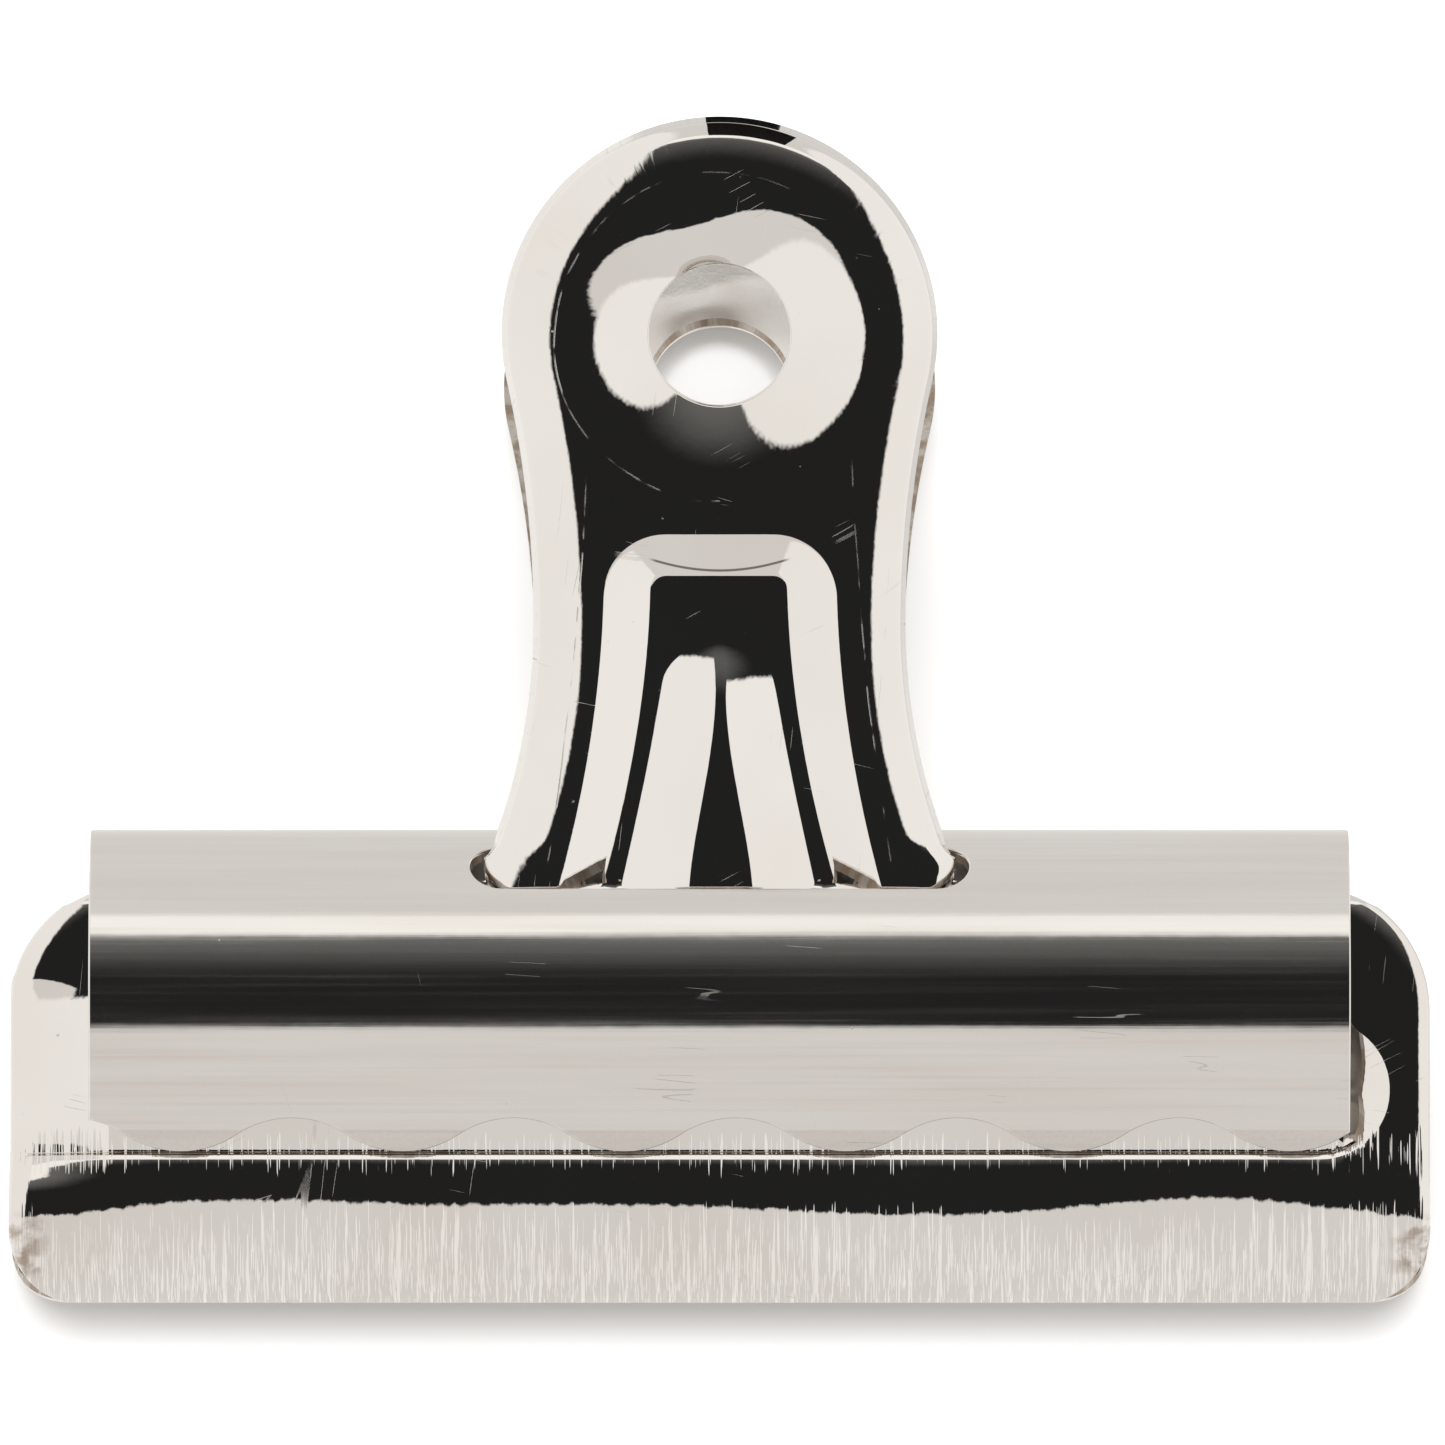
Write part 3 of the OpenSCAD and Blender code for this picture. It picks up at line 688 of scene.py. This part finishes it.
class Graph:
    """Short ways to add shader nodes to one node tree."""

    def __init__(self, tree):
        self.tree = tree

    def put(self, kind, inputs, out=0, **settings):
        """Adds a node whose inputs are values or other nodes' outputs, and gives one of its outputs."""
        n = self.tree.nodes.new(kind)
        for k, v in settings.items():
            setattr(n, k, v)
        for k, v in inputs.items():
            if isinstance(v, bpy.types.NodeSocket):
                self.tree.links.new(v, n.inputs[k])
            else:
                n.inputs[k].default_value = v
        return n.outputs[out]

    def calc(self, op, a, b=0.0):
        return self.put("ShaderNodeMath", {0: a, 1: b}, operation=op)

    def step(self, v, a, b):
        """A soft step from 0 at a to 1 at b."""
        return self.put("ShaderNodeMapRange", {0: v, 1: a, 2: b}, interpolation_type="SMOOTHSTEP")

    def mix(self, t, a, b):
        """The colour a where t is 0 and b where it is 1."""
        a, b = ((*v, 1) if isinstance(v, tuple) else v for v in (a, b))
        return self.put("ShaderNodeMix", {0: t, 6: a, 7: b}, out=2, data_type="RGBA")

    def noise(self, where, scale, detail=2.0, rough=0.5):
        return self.put("ShaderNodeTexNoise", {"Vector": where, "Scale": scale, "Detail": detail, "Roughness": rough})

    def join(self, x, y):
        return self.put("ShaderNodeCombineXYZ", {0: x, 1: y})

    def most(self, *values):
        out = values[0]
        for v in values[1:]:
            out = self.calc("MAXIMUM", out, v)
        return out

    def both(self, *values):
        out = values[0]
        for v in values[1:]:
            out = self.calc("MULTIPLY", out, v)
        return out

    def line(self, v, at, half):
        """1 where v is within half of at, falling to 0 at twice that."""
        return self.step(self.calc("ABSOLUTE", self.calc("SUBTRACT", v, at)), 2 * half, half)

    def between(self, v, a, b, soft):
        return self.both(self.step(v, a - soft, a + soft), self.step(v, b + soft, b - soft))

    def sheet(self):
        """The pattern coordinates, in mm across and along the sheet."""
        uv = self.put("ShaderNodeUVMap", {}, uv_map="sheet_mm")
        mm = self.put("ShaderNodeVectorMath", {0: uv, 1: (100,) * 3, 2: (-50, -50, 0)}, operation="MULTIPLY_ADD")
        x = self.put("ShaderNodeSeparateXYZ", {0: mm}, out=0)
        y = self.put("ShaderNodeSeparateXYZ", {0: mm}, out=1)
        return mm, x, y

    def hairlines(self, x, y, turn, far, keep):
        """Broken hairline scratches across the sheet at an angle."""
        c, s = math.cos(turn), math.sin(turn)
        u = self.calc("ADD", self.calc("MULTIPLY", x, c), self.calc("MULTIPLY", y, s))
        v = self.calc("ADD", self.calc("MULTIPLY", x, -s), self.calc("MULTIPLY", y, c))
        run = self.noise(self.join(self.calc("MULTIPLY", u, 0.03), self.calc("MULTIPLY", v, 0.9)), 1.0, 1.0)
        part = self.noise(self.join(self.calc("ADD", u, far), v), 0.3, 1.0)
        return self.both(self.line(run, 0.5, 0.0012), self.step(part, keep, keep + 0.08))


def new_material(name):
    """A material, its graph and its shader."""
    m = bpy.data.materials.new(name)
    m.use_nodes = True
    return m, Graph(m.node_tree), m.node_tree.nodes["Principled BSDF"]


def finish_metal(g, bsdf, colour, rough, height, depth):
    """Makes the shader metal with this colour, roughness and bump, depth metres high."""
    bsdf.inputs["Metallic"].default_value = 1.0
    g.tree.links.new(colour, bsdf.inputs["Base Color"])
    g.tree.links.new(rough, bsdf.inputs["Roughness"])
    bump = g.put("ShaderNodeBump", {"Strength": 1.0, "Distance": depth, "Height": height})
    g.tree.links.new(bump, bsdf.inputs["Normal"])


NICKEL, STALE, SCUFFED = (0.80, 0.778, 0.752), (0.765, 0.735, 0.70), (0.62, 0.60, 0.57)
# The second colour here is a painted dark reflection, laid along the foot of the arch's upper wall.
BROWN, DARK_REFLECTION = (0.30, 0.22, 0.15), (0.10, 0.09, 0.08)
RELIEF = 0.8e-5                                    # height of the plate's unevenness, in metres
DARK_TIPS_H = 6.5                                       # the spring's lobes are painted darker below this height, a painted reflection
RING_R = 7.05                                      # the die's ring round the dish


def specks(g, mm, scale, size, keep):
    """Small pits, one in some of the cells of a Voronoi pattern."""
    cell = {"Vector": mm, "Scale": scale}
    far = g.put("ShaderNodeTexVoronoi", cell, out=0)
    pick = g.put("ShaderNodeSeparateXYZ", {0: g.put("ShaderNodeTexVoronoi", cell, out=1)})
    return g.both(g.step(far, size, size * 0.5), g.step(pick, keep, keep + 0.02))


def bright_nickel():
    """Mirror-bright plate over a stamping, with the die's lines, fine scratches and a few pits."""
    m, g, bsdf = new_material("bright_nickel")
    mm, x, y = g.sheet()
    cloud = g.noise(mm, 0.09, 3.0)
    fine = g.noise(mm, 5.0, 3.0, 0.6)
    hair = g.most(g.hairlines(x, y, rad(83), 0.0, 0.62), g.hairlines(x, y, rad(28), 31.0, 0.66),
                  g.hairlines(x, y, rad(-12), 77.0, 0.66))
    # The die's marks: a broken ring round the dish, lines down beside the arch, and ticks near the head's edge.
    r = g.put("ShaderNodeVectorMath", {0: mm}, out=1, operation="LENGTH")
    ax, turn_a = g.calc("ABSOLUTE", x), g.calc("ARCTAN2", x, y)
    broken = g.step(g.noise(mm, 0.7, 2.0), 0.42, 0.55)
    ring = g.both(g.line(g.calc("ADD", r, g.calc("MULTIPLY", cloud, 0.8)), RING_R, 0.022), broken,
                  g.step(turn_a, 0.9, 0.3))
    curve = g.calc("SUBTRACT", ax, g.calc("MULTIPLY", g.calc("MULTIPLY", y, y), 0.0035))
    neck = g.both(g.line(g.calc("ADD", curve, g.calc("MULTIPLY", cloud, 0.5)), 5.5, 0.018),
                  g.between(y, -21.5, -5, 0.5), broken)
    spokes = g.noise(g.join(g.calc("MULTIPLY", turn_a, 24.0), g.calc("MULTIPLY", r, 0.5)), 1.0, 2.0)
    ticks = g.both(g.step(spokes, 0.57, 0.66), g.between(r, 7.35, 7.95, 0.25), g.step(y, 1.0, 3.0))
    pits = g.most(specks(g, mm, 0.35, 0.030, 0.45), specks(g, mm, 0.9, 0.06, 0.72))
    marks = g.most(hair, ring, neck, g.both(ticks, 0.45), pits)
    rough = g.calc("ADD", g.calc("MULTIPLY", marks, 0.24), g.calc("MULTIPLY", g.step(fine, 0.35, 0.8), 0.035))
    rough = g.calc("ADD", rough, 0.02)
    # Handling stains sit at the lower corners of the jaw plate.
    blotch = g.step(g.noise(mm, 1.1, 3.0), 0.42, 0.62)
    stain = g.both(g.step(ax, 26.6, 27.8), g.between(y, -38.2, -35.6, 0.5), blotch)
    colour = g.mix(g.step(cloud, 0.35, 0.7), NICKEL, STALE)
    colour = g.mix(g.both(stain, 0.75), colour, BROWN)
    colour = g.mix(g.both(marks, 0.25), colour, SCUFFED)
    # Painted reflection: a curved dark line is painted at the foot of the arch's upper wall, in place of the dark
    # reflection there. The lip's bend is finely ragged.
    sag = g.calc("SUBTRACT", g.calc("ADD", y, 9.50), g.calc("MULTIPLY", g.calc("MULTIPLY", x, x), 0.066))
    painted_dark_line = g.both(g.line(sag, 0.0, 0.035), g.step(ax, 2.9, 2.5), 0.85)
    colour = g.mix(painted_dark_line, colour, DARK_REFLECTION)
    strands = g.noise(g.join(g.calc("MULTIPLY", x, 2.6), g.calc("MULTIPLY", y, 0.12)), 1.0, 3.0)
    ragged = g.calc("SUBTRACT", strands, 0.5)
    ragged = g.both(ragged, g.calc("ADD", y, 34.3), g.step(y, -31.5, -33.0), 10.0)
    height = g.calc("ADD", g.noise(mm, 0.8, 3.0, 0.55), g.calc("MULTIPLY", marks, -0.15))
    height = g.calc("ADD", height, ragged)
    finish_metal(g, bsdf, colour, rough, height, RELIEF)
    return m


def rolled_nickel():
    """Nickel over rolled strip: fine streaks run the length of the spring."""
    m, g, bsdf = new_material("rolled_nickel")
    mm, x, y = g.sheet()
    along = g.join(g.calc("MULTIPLY", x, 0.035), g.calc("MULTIPLY", y, 4.5))
    streak = g.noise(along, 1.0, 4.0, 0.6)
    broad = g.noise(g.join(g.calc("MULTIPLY", x, 0.05), g.calc("MULTIPLY", y, 0.9)), 1.0, 2.0)
    grain = g.noise(mm, 6.0, 2.0, 0.6)
    hair = g.most(g.hairlines(x, y, rad(3), 12.0, 0.60), g.hairlines(x, y, rad(74), 45.0, 0.70))
    pits = specks(g, mm, 0.5, 0.035, 0.6)
    marks = g.most(hair, pits)
    rough = g.calc("ADD", g.calc("MULTIPLY", g.step(streak, 0.35, 0.75), 0.10), g.calc("MULTIPLY", marks, 0.25))
    rough = g.calc("ADD", rough, g.calc("MULTIPLY", g.step(broad, 0.3, 0.7), 0.05))
    rough = g.calc("ADD", rough, 0.05)
    colour = g.mix(g.step(broad, 0.3, 0.72), NICKEL, STALE)
    colour = g.mix(g.both(g.step(streak, 0.5, 0.8), 0.25), colour, (0.66, 0.63, 0.60))
    # Painted reflection: the lobes below a straight line are painted darker and browner, in place of the darker
    # reflection from their more tilted tips.
    painted_tip_reflection = g.both(g.step(y, spring_y(DARK_TIPS_H + 0.04), spring_y(DARK_TIPS_H - 0.04)), g.calc("ADD", grain, 0.35))
    colour = g.mix(g.both(painted_tip_reflection, 0.17), colour, BROWN)
    height = g.calc("ADD", g.calc("MULTIPLY", streak, 0.25), g.calc("MULTIPLY", g.noise(mm, 0.5, 2.0), 0.8))
    height = g.calc("ADD", height, g.calc("MULTIPLY", marks, -0.1))
    finish_metal(g, bsdf, colour, rough, height, RELIEF)
    return m


def sheared_edge():
    """The cut edge of the sheet: dull brownish steel with the punch's fine grooves and thin plate here and there."""
    m, g, bsdf = new_material("sheared_edge")
    mm, _, _ = g.sheet()
    grain = g.noise(mm, 9.0, 3.0, 0.65)
    patch = g.noise(mm, 1.3, 3.0)
    colour = g.mix(g.step(patch, 0.42, 0.62), (0.36, 0.29, 0.23), (0.58, 0.54, 0.50))
    colour = g.mix(g.both(g.step(grain, 0.5, 0.75), 0.5), colour, (0.20, 0.15, 0.11))
    rough = g.calc("ADD", g.calc("MULTIPLY", grain, 0.3), 0.25)
    finish_metal(g, bsdf, colour, rough, grain, 2.0e-5)
    return m


def satin_nickel():
    """The side of the sheet that faces into the clip, which is plated but not polished."""
    m, g, bsdf = new_material("satin_nickel")
    mm, x, y = g.sheet()
    grain = g.noise(mm, 7.0, 3.0, 0.6)
    cloud = g.noise(mm, 0.3, 3.0)
    hair = g.most(g.hairlines(x, y, rad(80), 5.0, 0.55), g.hairlines(x, y, rad(-35), 19.0, 0.58))
    colour = g.mix(g.step(cloud, 0.35, 0.7), NICKEL, (0.70, 0.665, 0.63))
    rough = g.calc("ADD", g.calc("MULTIPLY", grain, 0.25), g.calc("MULTIPLY", hair, 0.2))
    rough = g.calc("ADD", rough, 0.22)
    height = g.calc("SUBTRACT", grain, g.calc("MULTIPLY", hair, 0.5))
    finish_metal(g, bsdf, colour, rough, height, RELIEF)
    return m


LEVER, SPRING, EDGE, SATIN = bright_nickel(), rolled_nickel(), sheared_edge(), satin_nickel()

# ---- Pieces ----

BEND_FROM, BEND_TO = 12, 60                        # two angles from the barrel's top; the points at them are computed below but not used

lever_mesh = lever_piece()
spring_mesh = spring_piece()
for side, label in ((-1, "front"), (1, "rear")):
    obj = lever_mesh.make(f"{label}_lever_shell", side, [LEVER, EDGE, SATIN])
    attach(obj, f"{label}_lever")
    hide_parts(f"{label}_lever")
    obj = spring_mesh.make(f"spring_{label}_half", side, [SPRING, EDGE, SATIN])
    start, end = (to_row(spring_face(np.array([0.0]), np.array([BARREL_R * rad(a)])), side)[0]
                  for a in (BEND_FROM, BEND_TO))
    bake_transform(obj)
    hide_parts("spring_back", f"spring_{label}_leg")

# ---- Stage ----

FLOOR = 1.2                                        # half the floor's width, in metres
floor = bpy.data.meshes.new("floor")
corners = [(FLOOR * i, FLOOR * j, 0) for i, j in ((-1, -1), (1, -1), (1, 1), (-1, 1))]
floor.from_pydata(corners, [], [(0, 1, 2, 3)])
floor = bpy.data.objects.new("floor", floor)
bpy.context.scene.collection.objects.link(floor)
m, g, bsdf = new_material("floor_white")
OBJECT_SPACE = 3                                   # this output of the coordinate node
grain = g.noise(g.put("ShaderNodeTexCoord", {}, out=OBJECT_SPACE), 60.0, 2.0)
g.tree.links.new(g.mix(g.step(grain, 0.3, 0.7), (0.865,) * 3, (0.855,) * 3), bsdf.inputs["Base Color"])
bsdf.inputs["Roughness"].default_value = 0.9
bsdf.inputs["Specular IOR Level"].default_value = 0.0
floor.data.materials.append(m)
floor.visible_glossy = False

sun = bpy.data.lights.new("key", "SUN")
sun.energy, sun.angle = 3.4, rad(40)
sun = bpy.data.objects.new("key", sun)
sun.rotation_euler = (rad(-5), 0, 0)
sun.visible_glossy = False
bpy.context.scene.collection.objects.link(sun)


def flag(name, x0, x1, d0, d1, h):
    """A black card across the clip at the height h, which only shows in the clip's reflections."""
    corners = np.array([(x0, d0, h), (x1, d0, h), (x1, d1, h), (x0, d1, h)], float)
    mesh = bpy.data.meshes.new(name)
    mesh.from_pydata(to_row(corners, -1).tolist(), [], [(0, 1, 2, 3)])
    obj = bpy.data.objects.new(name, mesh)
    bpy.context.scene.collection.objects.link(obj)
    mesh.materials.append(FLAG)
    obj.visible_camera = obj.visible_diffuse = obj.visible_shadow = False


FLAG, g, bsdf = new_material("flag_black")
grain = g.noise(g.put("ShaderNodeTexCoord", {}, out=OBJECT_SPACE), 40.0)
g.tree.links.new(g.mix(grain, (0.010,) * 3, (0.016,) * 3), bsdf.inputs["Base Color"])
bsdf.inputs["Roughness"].default_value = 1.0
bsdf.inputs["Specular IOR Level"].default_value = 0.0
# The card is just past the top of the head, where it gives the black gap in the light rim.
flag("flag_head", -0.7, 4.4, HOLE_D - 3, HOLE_D + 4.5, HOLE_H + HEAD_R + 2.5)


def surroundings():
    """A light tent with a dark opening over the clip, seen only in its reflections."""
    world = bpy.data.worlds.new("tent")
    bpy.context.scene.world = world
    world.use_nodes = True
    g = Graph(world.node_tree)
    where = g.put("ShaderNodeTexCoord", {}, out=0)
    out, up, side = (g.put("ShaderNodeVectorMath", {0: where, 1: v}, out=1, operation="DOT_PRODUCT")
                     for v in (FRONT, UP, ACROSS))
    # Angles from straight out of the clip: height towards the handles, across towards the right.
    height = g.calc("MULTIPLY", g.calc("ARCTAN2", up, out), 180 / math.pi)
    across = g.calc("MULTIPLY", g.calc("ARCSINE", side), 180 / math.pi)
    # The tent is darker above and below than in front, and the opening is darkest low down.
    light = g.mix(g.step(height, 49, 53), (1.12, 1.10, 1.06), (0.80, 0.78, 0.76))
    light = g.mix(g.step(height, -27, -31), light, (0.80, 0.775, 0.75))
    light = g.mix(g.step(across, -12, -16), light, (1.02, 1.0, 0.97))
    light = g.mix(g.step(across, 27, 31), light, (1.04, 1.02, 0.99))
    shade = g.mix(g.step(height, 36, 4), (0.16, 0.16, 0.155), (0.018, 0.018, 0.018))
    dark = g.both(g.step(height, -31, -28), g.step(height, 38, 33), g.step(across, -16, -13), g.step(across, 31, 28))
    g.tree.links.new(g.mix(dark, light, shade), g.tree.nodes["Background"].inputs["Color"])


surroundings()

# ---- Camera ----

VIEW_TILT = rad(6.5)                               # the view comes from this far below square to the clip
SPAN = 58.1e-3                                     # width of the view at the clip
HIGH, RIGHT, DISTANCE = 23.34e-3, 0.12e-3, 1.5
look = Vector(-(math.cos(VIEW_TILT) * FRONT - math.sin(VIEW_TILT) * UP))
sky = Vector(math.cos(VIEW_TILT) * UP + math.sin(VIEW_TILT) * FRONT)
aim = Vector(ORIGIN) + HIGH * sky + RIGHT * Vector(ACROSS)
camera = bpy.data.cameras.new("camera")
camera.sensor_width = 36
camera.lens = camera.sensor_width * DISTANCE / SPAN
camera = bpy.data.objects.new("camera", camera)
camera.location = aim - DISTANCE * look
camera.rotation_mode = "QUATERNION"
right = look.cross(sky)
camera.rotation_quaternion = Matrix((right, sky, -look)).transposed().to_quaternion()
camera.data.clip_start, camera.data.clip_end = 0.1, 10
bpy.context.scene.collection.objects.link(camera)
bpy.context.scene.camera = camera
bpy.context.scene.view_settings.view_transform = "Standard"
